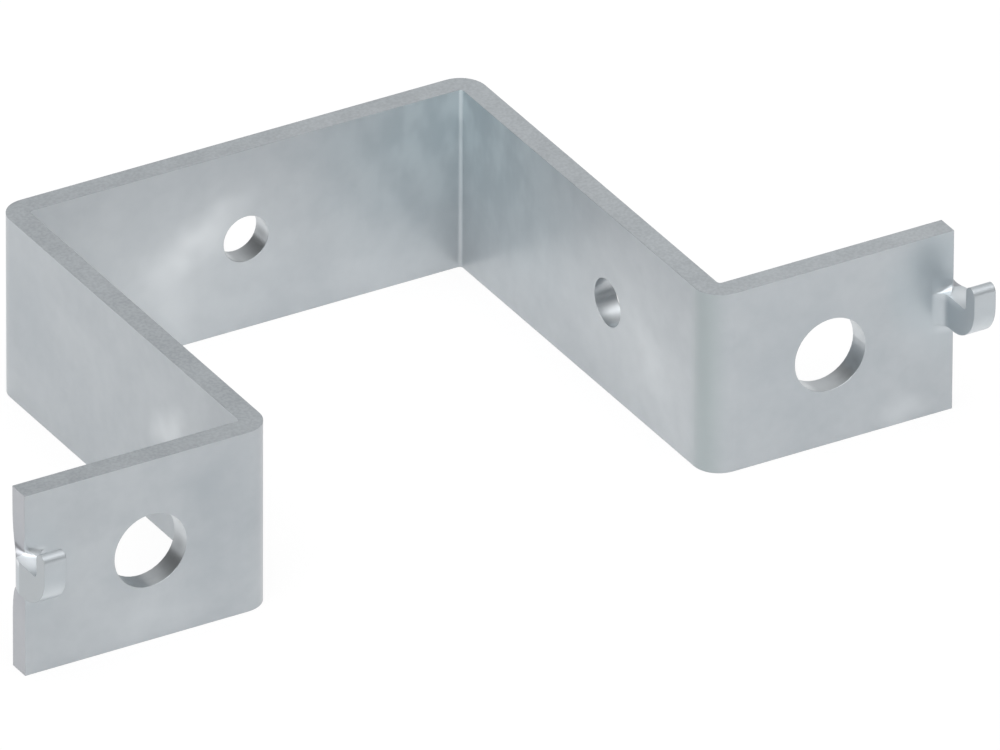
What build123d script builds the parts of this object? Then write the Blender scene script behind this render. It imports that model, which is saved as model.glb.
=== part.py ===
from build123d import *
from math import cos, pi, sin, tan
import os

# A fence post bracket: one strip of galvanised steel, folded into a U that takes a square post,
# with a flange at each side. A hook cut in the end of each flange is bent forward and holds a
# horizontal wire of the fence. All lengths are in millimetres.
#
# Origin: midway between the two flange holes, on the front face of the flanges.
# +X runs along the flanges, +Y backward into the U and +Z up along the post.

# Strip
sheet_thickness = 3.0
strip_width = 25.0
bend_inner_radius = 0.5

# Folded size
post_width = 60.0
post_clearance = 1.0
pocket_depth = 60.0
overall_width = 130.0

# Holes, all halfway up the strip
flange_hole_diameter = 10.0
flange_hole_to_end = 17.4
web_hole_diameter = 6.3
leg_hole_diameter = 6.3
leg_hole_to_front = 24.5

# Hook, seen from the side: a neck with a notch for the wire behind an upright tip
hook_reach = 7.5
hook_tip_thickness = 2.0
hook_height = 8.0
hook_neck_height = 4.4
hook_outer_radius = 5.0
hook_notch_radius = 0.5
hook_bottom = 0.0

# Hook, seen from above: a quarter bend just past the end of the flange
hook_overhang = 1.5
hook_bend_inner_radius = 1.6

# Nothing is cut free above and below the hook, so the flange's end is drawn forward with it
drawn_height = 5.0
drawn_rows = 8

# How fast the curl fades away from the hook, on each face of the sheet
front_fading = 12.0
back_fading = 2.0

# How far the drawn end flares along the rest of the hook's bend where it meets the hook
front_root_flare = 1.0
back_root_flare = 0.55

# Worked out from the sizes above
half_overall = overall_width / 2
half_pocket = (post_width + post_clearance) / 2
bend_outer_radius = bend_inner_radius + sheet_thickness
hook_floor = hook_bottom + hook_neck_height
hook_inner_x = half_overall + hook_overhang - sheet_thickness
hook_bend_line_x = hook_inner_x - hook_bend_inner_radius
hook_bend_middle_radius = hook_bend_inner_radius + sheet_thickness / 2
hook_bend_outer_radius = hook_bend_inner_radius + sheet_thickness
end_length = half_overall - hook_bend_line_x


def sheet_section(front_points, radii):
    """The sheet seen from above: the line of its front face, with its thickness laid behind it."""
    with BuildSketch() as section:
        with BuildLine():
            FilletPolyline(*front_points, radius=radii)
            offset(amount=sheet_thickness, side=Side.LEFT)
        make_face()
    return section.sketch


def folded_strip():
    """The strip folded into a U with two flanges, standing on its edge."""
    front_points = [
        (-half_overall, 0),
        (-half_pocket, 0),
        (-half_pocket, pocket_depth),
        (half_pocket, pocket_depth),
        (half_pocket, 0),
        (half_overall, 0),
    ]
    radii = [bend_outer_radius, bend_inner_radius, bend_inner_radius, bend_outer_radius]
    section = sheet_section(front_points, radii)
    return extrude(Pos(0, 0, -strip_width / 2) * section, strip_width)


def hole_cutters():
    """Cutters for the holes: one in each flange, one in the web and one in the right leg only."""
    depth = sheet_thickness * 3
    forward = Rot(90, 0, 0)
    sideways = Rot(0, 90, 0)
    flange_hole = forward * Cylinder(flange_hole_diameter / 2, depth)
    web_hole = forward * Cylinder(web_hole_diameter / 2, depth)
    leg_hole = sideways * Cylinder(leg_hole_diameter / 2, depth)
    flange_hole_x = half_overall - flange_hole_to_end
    return [
        Pos(-flange_hole_x, 0, 0) * flange_hole,
        Pos(flange_hole_x, 0, 0) * flange_hole,
        Pos(0, pocket_depth, 0) * web_hole,
        Pos(half_pocket, leg_hole_to_front, 0) * leg_hole,
    ]


def hook_outline():
    """The hook seen from the side: x runs forward from the flange's front face, and y up."""
    back = -2 * sheet_thickness
    notch_front = hook_reach - hook_tip_thickness
    tip_radius = hook_tip_thickness / 2
    tip_centre_height = hook_bottom + hook_height - tip_radius
    with BuildSketch() as outline:
        with BuildLine():
            lower = [(back, hook_bottom), (hook_reach, hook_bottom), (hook_reach, tip_centre_height)]
            FilletPolyline(*lower, radius=hook_outer_radius)
            CenterArc((hook_reach - tip_radius, tip_centre_height), tip_radius, 0, 180)
            notch = [(notch_front, tip_centre_height), (notch_front, hook_floor), (back, hook_floor)]
            FilletPolyline(*notch, radius=hook_notch_radius)
            Line((back, hook_floor), (back, hook_bottom))
        make_face()
    return outline.sketch


def hook():
    """The hook at the right end: the sheet bent forward a quarter turn and cut to its outline."""
    root_x = hook_bend_line_x - sheet_thickness
    front_points = [(root_x, 0), (hook_inner_x, 0), (hook_inner_x, -hook_reach)]
    bend = sheet_section(front_points, [hook_bend_inner_radius])
    bent_sheet = extrude(Pos(0, 0, hook_bottom) * bend, hook_height)
    side_view = Plane(origin=(half_overall * 2, 0, 0), x_dir=(0, -1, 0), z_dir=(-1, 0, 0))
    return bent_sheet & extrude(side_view * hook_outline(), half_overall * 2)


def drawn_face_rows(radius, fading, flare, hook_edge, direction):
    """Rows of control points and weights for one face of the drawn sheet, from the hook outward.

    A row crosses the sheet from the bend line to its end. Its share says how much of that length
    is curled round the hook's bend: all of it in the row at the hook, which is the bend's own
    arc, and none in the last row, where the flange is flat again. The first two rows are level
    with each other, so the sheet's end sweeps into the hook's neck without a kink.
    """
    quarter_bend_length = hook_bend_middle_radius * pi / 2
    face_y = radius - hook_bend_inner_radius
    all_points = []
    all_weights = []
    for row in range(drawn_rows):
        rise = max(row - 1, 0) / (drawn_rows - 2)
        height = hook_edge + direction * drawn_height * rise
        share = (1 - row / (drawn_rows - 1)) ** fading
        length = end_length
        if row == 0:
            length = end_length + flare * (quarter_bend_length - end_length)
        curl = share * length / hook_bend_middle_radius
        straight = (1 - share) * length
        turn = share * radius * tan(curl / 2) + straight / 2
        end_x = hook_bend_line_x + radius * sin(curl) + straight * cos(curl)
        end_y = -hook_bend_inner_radius + radius * cos(curl) - straight * sin(curl)
        bend_line_point = Vector(hook_bend_line_x, face_y, height)
        turn_point = Vector(hook_bend_line_x + turn, face_y, height)
        all_points.append([bend_line_point, turn_point, Vector(end_x, end_y, height)])
        all_weights.append([1, cos(curl / 2), 1])
    return all_points, all_weights


def row_section(front_points, front_weights, back_points, back_weights):
    """The flat face that closes the drawn sheet at one of its rows."""
    outline = [
        Bezier(*front_points, weights=front_weights),
        Line(front_points[-1], back_points[-1]),
        Bezier(*back_points, weights=back_weights),
        Line(back_points[0], front_points[0]),
    ]
    return make_face(outline).face()


def drawn_end(hook_edge, direction):
    """The flange's end above or below the hook, drawn from the hook's full bend to the flat."""
    front, front_weights = drawn_face_rows(
        hook_bend_inner_radius, front_fading, front_root_flare, hook_edge, direction
    )
    back, back_weights = drawn_face_rows(
        hook_bend_outer_radius, back_fading, back_root_flare, hook_edge, direction
    )
    front_end_line = [points[-1] for points in front]
    back_end_line = [points[-1] for points in back]
    bend_line_outline = Polyline(front[0][0], front[-1][0], back[-1][0], back[0][0], close=True)
    faces = [
        Face.make_bezier_surface(front, front_weights),
        Face.make_bezier_surface(back, back_weights),
        Face.make_bezier_surface([front_end_line, back_end_line]),
        make_face(bend_line_outline).face(),
        row_section(front[0], front_weights[0], back[0], back_weights[0]),
        row_section(front[-1], front_weights[-1], back[-1], back_weights[-1]),
    ]
    return Solid(Shell(faces))


def replaced_end():
    """The stretch of the flat flange whose place the hook and the drawn sheet take."""
    low_corner = (hook_bend_line_x, -sheet_thickness, hook_bottom - drawn_height)
    size = (half_overall, 3 * sheet_thickness, hook_neck_height + 2 * drawn_height)
    return Pos(low_corner) * Box(*size, align=Align.MIN)


right_end = hook() + drawn_end(hook_floor, 1) + drawn_end(hook_bottom, -1)
right_gap = replaced_end()

bracket = folded_strip() - hole_cutters()
bracket = bracket - right_gap - mirror(right_gap, about=Plane.YZ)
bracket = bracket + right_end + mirror(right_end, about=Plane.YZ)
bracket.label = "bracket"

os.makedirs("parts", exist_ok=True)
export_step(bracket, "parts/bracket.step")
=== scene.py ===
from math import cos, radians, sin

import bmesh
import bpy
from mathutils import Matrix, Vector


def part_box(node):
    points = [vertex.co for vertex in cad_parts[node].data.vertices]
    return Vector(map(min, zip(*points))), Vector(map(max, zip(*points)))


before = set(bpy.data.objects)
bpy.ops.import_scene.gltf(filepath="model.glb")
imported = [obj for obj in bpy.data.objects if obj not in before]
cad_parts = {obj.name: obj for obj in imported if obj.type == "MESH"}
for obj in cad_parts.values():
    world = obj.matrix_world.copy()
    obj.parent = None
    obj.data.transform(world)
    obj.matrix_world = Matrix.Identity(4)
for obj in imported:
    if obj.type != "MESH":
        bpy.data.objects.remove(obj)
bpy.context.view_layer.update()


# The bracket
# One strip of 3 mm steel sheet, punched, folded into a U with two flanges, and galvanised. The
# zinc is a cool light grey with soft smudges, darker and grained where the strip was sheared, and
# more metallic on the hooks and in the holes. Places and sizes on it are in millimetres.
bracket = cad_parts["bracket"]
bracket_low, bracket_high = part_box("bracket")
half_strip = bracket_high.z * 1000
half_overall = 65.0
hook_outer_x = 66.5
hook_start_y = -1.0
flange_hole_x = 47.6
flange_hole_radius = 5.0
small_hole_radius = 3.15
leg_hole_y = 24.5
web_face_y = 60.0
leg_face_x = 30.5

# How far off a face or a hole's wall a point may lie and still count as on it
face_margin = 0.02
hole_margin = 0.03
corner_margin = 0.1


def math_node(tree, operation, first, second=None, third=None):
    """One step of arithmetic on sockets or numbers, giving its output socket."""
    made = tree.nodes.new("ShaderNodeMath")
    made.operation = operation
    for index, value in enumerate((first, second, third)):
        if value is None:
            continue
        if isinstance(value, (int, float)):
            made.inputs[index].default_value = value
        else:
            tree.links.new(value, made.inputs[index])
    return made.outputs[0]


def product(tree, first, *others):
    """Sockets or numbers multiplied together."""
    for other in others:
        first = math_node(tree, "MULTIPLY", first, other)
    return first


def weighted_sum(tree, start, *parts):
    """A starting number plus each part's socket times its weight."""
    total = start
    for socket, weight in parts:
        total = math_node(tree, "MULTIPLY_ADD", socket, weight, total)
    return total


def mixed_colour(tree, share, first, second):
    """Blends two colours, each a socket or a linear (r, g, b), by a socket's share of the second."""
    made = tree.nodes.new("ShaderNodeMix")
    made.data_type = "RGBA"
    tree.links.new(share, made.inputs["Factor"])
    for socket, value in zip((made.inputs[6], made.inputs[7]), (first, second)):
        if isinstance(value, tuple):
            socket.default_value = (*value, 1)
        else:
            tree.links.new(value, socket)
    return made.outputs[2]


def ramp(tree, value, low, high):
    """How far a value has come from low to high, smoothly, from 0 to 1."""
    made = tree.nodes.new("ShaderNodeMapRange")
    made.interpolation_type = "SMOOTHSTEP"
    made.inputs["From Min"].default_value = low
    made.inputs["From Max"].default_value = high
    tree.links.new(value, made.inputs["Value"])
    return made.outputs["Result"]


def noise(tree, place, patch_size, detail, stretch=(1, 1, 1), output="Fac"):
    """Noise with patches of about that size, stretched along the axes."""
    scaled = tree.nodes.new("ShaderNodeMapping")
    scaled.inputs["Scale"].default_value = [1 / (patch_size * s) for s in stretch]
    tree.links.new(place, scaled.inputs["Vector"])
    made = tree.nodes.new("ShaderNodeTexNoise")
    made.inputs["Scale"].default_value = 1
    made.inputs["Detail"].default_value = detail
    tree.links.new(scaled.outputs["Vector"], made.inputs["Vector"])
    return made.outputs[output]


def round_hole(tree, across, along, centre, radius):
    """1 on the wall of a round hole, from the two coordinates that lie in the sheet there."""
    sideways = math_node(tree, "SUBTRACT", across, centre)
    squared = math_node(tree, "MULTIPLY", sideways, sideways)
    distance = math_node(tree, "SQRT", math_node(tree, "MULTIPLY_ADD", along, along, squared))
    return math_node(tree, "LESS_THAN", distance, radius + hole_margin)


def soft_patch(tree, place, centre, half_size, turn=(0, 0, 0)):
    """A soft patch of the sheet, 1 in its middle and 0 from half_size outward, turned in degrees."""
    placed = tree.nodes.new("ShaderNodeMapping")
    placed.vector_type = "TEXTURE"
    placed.inputs["Location"].default_value = centre
    placed.inputs["Rotation"].default_value = [radians(angle) for angle in turn]
    placed.inputs["Scale"].default_value = half_size
    tree.links.new(place, placed.inputs["Vector"])
    distance = tree.nodes.new("ShaderNodeVectorMath")
    distance.operation = "LENGTH"
    tree.links.new(placed.outputs["Vector"], distance.inputs[0])
    return ramp(tree, distance.outputs["Value"], 1.0, 0.0)


def with_patch(tree, colour, patch_colour, strength, mask):
    """A colour with another mixed in where the mask is, up to the given strength."""
    return mixed_colour(tree, product(tree, mask, strength), colour, patch_colour)


zinc = bpy.data.materials.new("galvanised_steel")
zinc.use_nodes = True
tree = zinc.node_tree
shader = tree.nodes["Principled BSDF"]

coordinates = tree.nodes.new("ShaderNodeTexCoord")
millimetres = tree.nodes.new("ShaderNodeMapping")
millimetres.inputs["Scale"].default_value = (1000, 1000, 1000)
tree.links.new(coordinates.outputs["Object"], millimetres.inputs["Vector"])
place = millimetres.outputs["Vector"]
split = tree.nodes.new("ShaderNodeSeparateXYZ")
tree.links.new(place, split.inputs["Vector"])
x, y, z = split.outputs["X"], split.outputs["Y"], split.outputs["Z"]
side = math_node(tree, "ABSOLUTE", x)
mirrored = tree.nodes.new("ShaderNodeCombineXYZ")
tree.links.new(side, mirrored.inputs["X"])
tree.links.new(y, mirrored.inputs["Y"])
tree.links.new(z, mirrored.inputs["Z"])
either_side = mirrored.outputs["Vector"]

# Where the sheet was cut: the strip's two long edges and the holes, the leg's on the right only
strip_edge = math_node(tree, "GREATER_THAN", math_node(tree, "ABSOLUTE", z), half_strip - face_margin)
flange_wall = round_hole(tree, side, z, flange_hole_x, flange_hole_radius)
web_wall = round_hole(tree, x, z, 0.0, small_hole_radius)
right_half = math_node(tree, "GREATER_THAN", x, 0.0)
leg_wall = product(tree, round_hole(tree, y, z, leg_hole_y, small_hole_radius), right_half)
hole_wall = math_node(tree, "MAXIMUM", flange_wall, math_node(tree, "MAXIMUM", web_wall, leg_wall))

# The zinc's own tones: wide clouds, patches and small mottles
noise_low = 0.3
noise_high = 0.7
cloud_size, cloud_share = 24, 0.45
patch_size, patch_share = 6, 0.33
mottle_size, mottle_share = 1.8, 0.22
zinc_dark = (0.412, 0.444, 0.470)
zinc_light = (0.484, 0.514, 0.537)
clouds = ramp(tree, noise(tree, place, cloud_size, 2.0), noise_low, noise_high)
patches = ramp(tree, noise(tree, place, patch_size, 3.0, stretch=(1, 1, 0.7)), noise_low, noise_high)
mottles = ramp(tree, noise(tree, place, mottle_size, 2.0), noise_low, noise_high)
tone = weighted_sum(tree, 0.0, (clouds, cloud_share), (patches, patch_share), (mottles, mottle_share))
colour = mixed_colour(tree, tone, zinc_dark, zinc_light)

# Noise moves the patches' outlines to and fro by up to ragged_reach, which makes them ragged
ragged_reach = 2
ragged_size = 5
ragged = tree.nodes.new("ShaderNodeVectorMath")
ragged.operation = "MULTIPLY_ADD"
tree.links.new(noise(tree, place, ragged_size, 1.0, output="Color"), ragged.inputs[0])
ragged.inputs[1].default_value = (2 * ragged_reach,) * 3
tree.links.new(place, ragged.inputs[2])
centred = tree.nodes.new("ShaderNodeVectorMath")
centred.operation = "SUBTRACT"
centred.inputs[1].default_value = (ragged_reach,) * 3
tree.links.new(ragged.outputs["Vector"], centred.inputs[0])
ragged_place = centred.outputs["Vector"]

# Patches in the zinc, some darker, some paler, and streaks. The pale patches low on the web, the
# right leg and the flanges are painted light bounced up from the floor, and the cool and dark patches
# by the right hook are painted shade. Each has colour, centre, half size, turn in degrees and
# strength
pale_zinc_and_bounce_light = (0.700, 0.730, 0.750)
dark_zinc_and_shade = (0.350, 0.388, 0.420)
cool_painted_shade = (0.470, 0.560, 0.600)
tone_and_light_patches = [
    # Painted shade on the right flange by the hook
    (cool_painted_shade, (63.0, 0.0, 7.0), (10, 3, 11), (0, 0, 0), 0.55),
    (dark_zinc_and_shade, (62.5, 0.0, 7.0), (8, 3, 9), (0, 0, 0), 0.46),
    (dark_zinc_and_shade, (42.0, 0.0, 2.0), (17, 3, 17), (0, 0, 0), 0.30),
    (dark_zinc_and_shade, (12.0, web_face_y, 9.5), (14, 3, 5), (0, 0, 0), 0.20),
    (dark_zinc_and_shade, (-37.0, 0.0, 2.0), (13, 4, 15), (0, 0, 0), 0.26),
    (dark_zinc_and_shade, (-40.0, 0.0, 7.0), (6, 3, 4), (0, 0, 0), 0.36),
    (dark_zinc_and_shade, (-33.5, 57.0, 2.0), (3, 14, 15), (0, 0, 0), 0.42),
    # Paler web with a streak; the low patches are painted light bounced up from the floor
    (pale_zinc_and_bounce_light, (-11.0, web_face_y, -2.0), (28, 3, 19), (0, 0, 0), 0.38),
    (pale_zinc_and_bounce_light, (-7.8, web_face_y, 0.8), (13, 3, 4.8), (0, -32, 0), 0.88),
    (pale_zinc_and_bounce_light, (-10.5, web_face_y, -7.0), (9, 3, 4.5), (0, 60, 0), 0.34),
    (pale_zinc_and_bounce_light, (19.0, web_face_y, -9.5), (13, 3, 8), (0, 0, 0), 0.18),
    (pale_zinc_and_bounce_light, (leg_face_x, 38.0, -2.0), (3, 14, 9), (0, 0, 0), 0.14),
    (pale_zinc_and_bounce_light, (leg_face_x, 17.0, -3.0), (3, 26, 17), (0, 0, 0), 0.36),
    (pale_zinc_and_bounce_light, (leg_face_x, 14.5, -2.5), (3, 12, 3.8), (47, 0, 0), 0.27),
    (pale_zinc_and_bounce_light, (-33.5, 20.4, 2.3), (3, 7, 4.0), (-40, 0, 0), 0.58),
    (pale_zinc_and_bounce_light, (-48.0, 0.0, -9.5), (11, 3, 5), (0, 0, 0), 0.22),
    (pale_zinc_and_bounce_light, (58.0, 0.0, -11.0), (5, 3, 3.5), (0, 0, 0), 0.42),
]
for patch_colour, centre, half_size, turn, strength in tone_and_light_patches:
    mask = soft_patch(tree, ragged_place, centre, half_size, turn)
    colour = with_patch(tree, colour, patch_colour, strength, mask)

# In the right back corner the zinc is painted cooler and a little paler, standing in for the bluish
# light bounced between the web and the right leg, with taller mottles
tall_mottle_size = 3.5
corner_bounce_dark = (0.405, 0.490, 0.530)
corner_bounce_pale = (0.545, 0.635, 0.670)
corner_bounce_strength = 0.72
tall_mottles = ramp(tree, noise(tree, place, tall_mottle_size, 2.0, stretch=(1, 1, 1.8)), 0.35, 0.65)
corner_bounce_colour = mixed_colour(tree, tall_mottles, corner_bounce_dark, corner_bounce_pale)
corner_bounce = soft_patch(tree, ragged_place, (leg_face_x, web_face_y, 11.5), (28, 40, 27))
inside_leg = math_node(tree, "LESS_THAN", x, leg_face_x + corner_margin)
inside_web = math_node(tree, "LESS_THAN", y, web_face_y + corner_margin)
corner_bounce = product(tree, corner_bounce, inside_leg, inside_web)
colour = with_patch(tree, colour, corner_bounce_colour, corner_bounce_strength, corner_bounce)

# The fold at the right leg's front is a darker, greener band
fold_zinc = (0.362, 0.412, 0.420)
fold = soft_patch(tree, place, (31.0, 1.85, 0), (3.4, 3.4, 60))
colour = with_patch(tree, colour, fold_zinc, 0.84, fold)

# The sheared edges are dark and speckled, and paler towards the right
grain_size = 0.4
cut_dark = (0.279, 0.300, 0.318)
cut_light = (0.427, 0.454, 0.474)
grain = noise(tree, place, grain_size, 2.0)
speckle = ramp(tree, grain, noise_low, noise_high)
rightward = ramp(tree, x, -80, 60)
cut_tone = weighted_sum(tree, 0.0, (rightward, 0.41), (speckle, 0.36), (patches, 0.23))
cut_colour = mixed_colour(tree, cut_tone, cut_dark, cut_light)
colour = mixed_colour(tree, strip_edge, colour, cut_colour)

# The holes' walls are darker in places, partly duller punched zinc and partly painted shade where
# they mirror the shaded floor, and paler at the foot of the right flange's hole, a painted sheen
wall_dark = (0.560, 0.590, 0.612)
wall_light = (0.615, 0.647, 0.670)
dull_wall_and_shade = (0.252, 0.266, 0.278)
pale_wall_sheen = (0.720, 0.757, 0.784)
wall_tones_and_shade = [
    (dull_wall_and_shade, (-42.8, 1.5, -1.4), (2.6, 4, 2.6), 0.77),
    (dull_wall_and_shade, (3.06, 61.5, -0.76), (1.3, 4, 1.3), 0.77),
    (dull_wall_and_shade, (1.2, 61.5, -2.9), (1.7, 4, 1.7), 0.45),
    (dull_wall_and_shade, (51.9, 1.5, -2.5), (1.7, 4, 1.7), 0.42),
    (pale_wall_sheen, (47.0, 1.5, -5.0), (2.8, 4, 2.8), 0.90),
    (dull_wall_and_shade, (32.0, 27.6, -0.3), (4, 1.6, 1.6), 0.62),
]
wall_colour = mixed_colour(tree, mottles, wall_dark, wall_light)
for patch_colour, centre, half_size, strength in wall_tones_and_shade:
    mask = soft_patch(tree, place, centre, half_size)
    wall_colour = with_patch(tree, wall_colour, patch_colour, strength, mask)
colour = mixed_colour(tree, hole_wall, colour, wall_colour)

# Round the hooks the drawn sheet is brighter. Painted highlights brighten the foot of the tip, the
# hook's root, most of all on the left, and the lip below it, and painted shade darkens the hook's
# outer side.
drawn_zinc = (0.500, 0.545, 0.575)
highlight_zinc = (0.750, 0.785, 0.810)
left_root_highlight_zinc = (0.880, 0.910, 0.935)
hook_side_shade = (0.425, 0.455, 0.475)
drawn = soft_patch(tree, either_side, (half_overall, -2, 2), (9, 12, 11))
tip_foot_highlight = soft_patch(tree, either_side, (half_overall, -8.0, 0.5), (5, 4, 4.5))
root_highlight = soft_patch(tree, either_side, (half_overall, -1.8, 4.4), (4, 4.4, 1.3))
left_root_highlight = soft_patch(tree, place, (-half_overall, -1.8, 4.4), (4, 4.4, 1.0))
lip_highlight = soft_patch(tree, either_side, (half_overall, -0.8, -0.8), (4, 3, 1.1))
colour = mixed_colour(tree, drawn, colour, drawn_zinc)
colour = with_patch(tree, colour, highlight_zinc, 0.7, tip_foot_highlight)
colour = with_patch(tree, colour, highlight_zinc, 0.7, root_highlight)
colour = with_patch(tree, colour, left_root_highlight_zinc, 0.9, left_root_highlight)
colour = with_patch(tree, colour, highlight_zinc, 0.45, lip_highlight)
outermost = math_node(tree, "GREATER_THAN", side, hook_outer_x - face_margin)
in_hook = math_node(tree, "LESS_THAN", y, hook_start_y)
colour = mixed_colour(tree, product(tree, outermost, in_hook), colour, hook_side_shade)

# The flanges' upright ends are a little duller
end_zinc = (0.420, 0.428, 0.455)
past_end = math_node(tree, "GREATER_THAN", side, half_overall - face_margin)
behind_front = math_node(tree, "GREATER_THAN", y, 0.0)
colour = with_patch(tree, colour, end_zinc, 0.8, product(tree, past_end, behind_front))
tree.links.new(colour, shader.inputs["Base Color"])

# How metallic and how rough the zinc is, with a fine grain that is strongest on the sheared edges
sheet_metallic = 0.40
drawn_metallic = 0.48
root_metallic = -0.40
sheet_roughness = 0.32
cut_roughness = 0.25
sheet_grain = 0.03
cut_grain = 0.09
grain_height = 0.02
edge_radius = 0.12
metallic = weighted_sum(tree, sheet_metallic, (drawn, drawn_metallic), (root_highlight, root_metallic))
metallic = math_node(tree, "MAXIMUM", metallic, hole_wall)
tree.links.new(metallic, shader.inputs["Metallic"])
roughness = weighted_sum(tree, sheet_roughness, (strip_edge, cut_roughness))
tree.links.new(roughness, shader.inputs["Roughness"])

rounded = tree.nodes.new("ShaderNodeBevel")
rounded.samples = 6
rounded.inputs["Radius"].default_value = edge_radius / 1000
bump = tree.nodes.new("ShaderNodeBump")
bump.inputs["Distance"].default_value = grain_height / 1000
tree.links.new(weighted_sum(tree, sheet_grain, (strip_edge, cut_grain)), bump.inputs["Strength"])
tree.links.new(grain, bump.inputs["Height"])
tree.links.new(rounded.outputs["Normal"], bump.inputs["Normal"])
tree.links.new(bump.outputs["Normal"], shader.inputs["Normal"])

bracket.material_slots[0].material = zinc


# The floor
# A plain white surface that the bracket stands on with its lower edge. The camera and the zinc
# see it mostly as plain white, with a faint shadow under the bracket.
floor_size = 3.0
floor_white = (0.97, 0.97, 0.97)
floor_plain_share = 0.9

floor_shape = bmesh.new()
bmesh.ops.create_grid(floor_shape, x_segments=1, y_segments=1, size=floor_size / 2)
bmesh.ops.translate(floor_shape, verts=floor_shape.verts, vec=(0, 0, bracket_low.z))
floor_mesh = bpy.data.meshes.new("floor")
floor_shape.to_mesh(floor_mesh)
floor_shape.free()
floor = bpy.data.objects.new("floor", floor_mesh)
bpy.context.scene.collection.objects.link(floor)

floor_paint = bpy.data.materials.new("white_floor")
floor_paint.use_nodes = True
tree = floor_paint.node_tree
tree.nodes.clear()
matt = tree.nodes.new("ShaderNodeBsdfDiffuse")
matt.inputs["Color"].default_value = (*floor_white, 1)
plain = tree.nodes.new("ShaderNodeEmission")
path = tree.nodes.new("ShaderNodeLightPath")
seen = math_node(tree, "MAXIMUM", path.outputs["Is Camera Ray"], path.outputs["Is Glossy Ray"])
seen = math_node(tree, "MAXIMUM", seen, path.outputs["Is Transmission Ray"])
blend = tree.nodes.new("ShaderNodeMixShader")
tree.links.new(product(tree, seen, floor_plain_share), blend.inputs["Fac"])
tree.links.new(matt.outputs[0], blend.inputs[1])
tree.links.new(plain.outputs[0], blend.inputs[2])
output = tree.nodes.new("ShaderNodeOutputMaterial")
tree.links.new(blend.outputs[0], output.inputs["Surface"])
floor_mesh.materials.append(floor_paint)


# The light
# A white sweep lies all round, up to just above the horizon. Over it is a dim room with one large
# soft light overhead, towards the front left, with a wide dimmer rim, and a broad pale card at the
# back right. Each light has a level, a direction and its outer and inner angles in degrees.
sweep_top = 0.05
sweep_white = (1.0, 1.0, 1.0)
room_level = 0.14
overhead = (-0.189, -0.263, 0.946)
back_right = (0.604, 0.720, 0.342)
lights = [
    (1.90, overhead, 42, 30),
    (0.60, overhead, 68, 38),
    (0.42, back_right, 60, 10),
]

world = bpy.data.worlds.new("studio")
world.use_nodes = True
bpy.context.scene.world = world
tree = world.node_tree
direction = tree.nodes.new("ShaderNodeTexCoord").outputs["Generated"]
level = room_level
for light_level, light_direction, outer_angle, inner_angle in lights:
    toward = tree.nodes.new("ShaderNodeVectorMath")
    toward.operation = "DOT_PRODUCT"
    tree.links.new(direction, toward.inputs[0])
    toward.inputs[1].default_value = light_direction
    light = ramp(tree, toward.outputs["Value"], cos(radians(outer_angle)), cos(radians(inner_angle)))
    level = math_node(tree, "MULTIPLY_ADD", light, light_level, level)
split = tree.nodes.new("ShaderNodeSeparateXYZ")
tree.links.new(direction, split.inputs["Vector"])
sweep = math_node(tree, "LESS_THAN", split.outputs["Z"], sweep_top)
room = mixed_colour(tree, sweep, level, sweep_white)
tree.links.new(room, tree.nodes["Background"].inputs["Color"])


# The camera
# It looks down at the bracket from the front left with a very long lens, because the photograph
# shows the strip's parallel edges as parallel.
camera_azimuth = radians(-30.29)
camera_elevation = radians(29.93)
camera_roll = radians(0.26)
camera_aim = Vector((0.01022, 0.01569, 0))
camera_distance = 4.222
camera_lens = 1250
camera_sensor = 36
camera_reach = 20

camera_data = bpy.data.cameras.new("camera")
camera_data.lens = camera_lens
camera_data.sensor_width = camera_sensor
camera_data.clip_end = camera_reach
camera = bpy.data.objects.new("camera", camera_data)
back = Vector(
    (
        sin(camera_azimuth) * cos(camera_elevation),
        -cos(camera_azimuth) * cos(camera_elevation),
        sin(camera_elevation),
    )
)
turn = (-back).to_track_quat("-Z", "Y").to_matrix().to_4x4() @ Matrix.Rotation(camera_roll, 4, "Z")
camera.matrix_world = Matrix.Translation(camera_aim + back * camera_distance) @ turn
bpy.context.scene.collection.objects.link(camera)
bpy.context.scene.camera = camera

bpy.context.scene.view_settings.view_transform = "Standard"
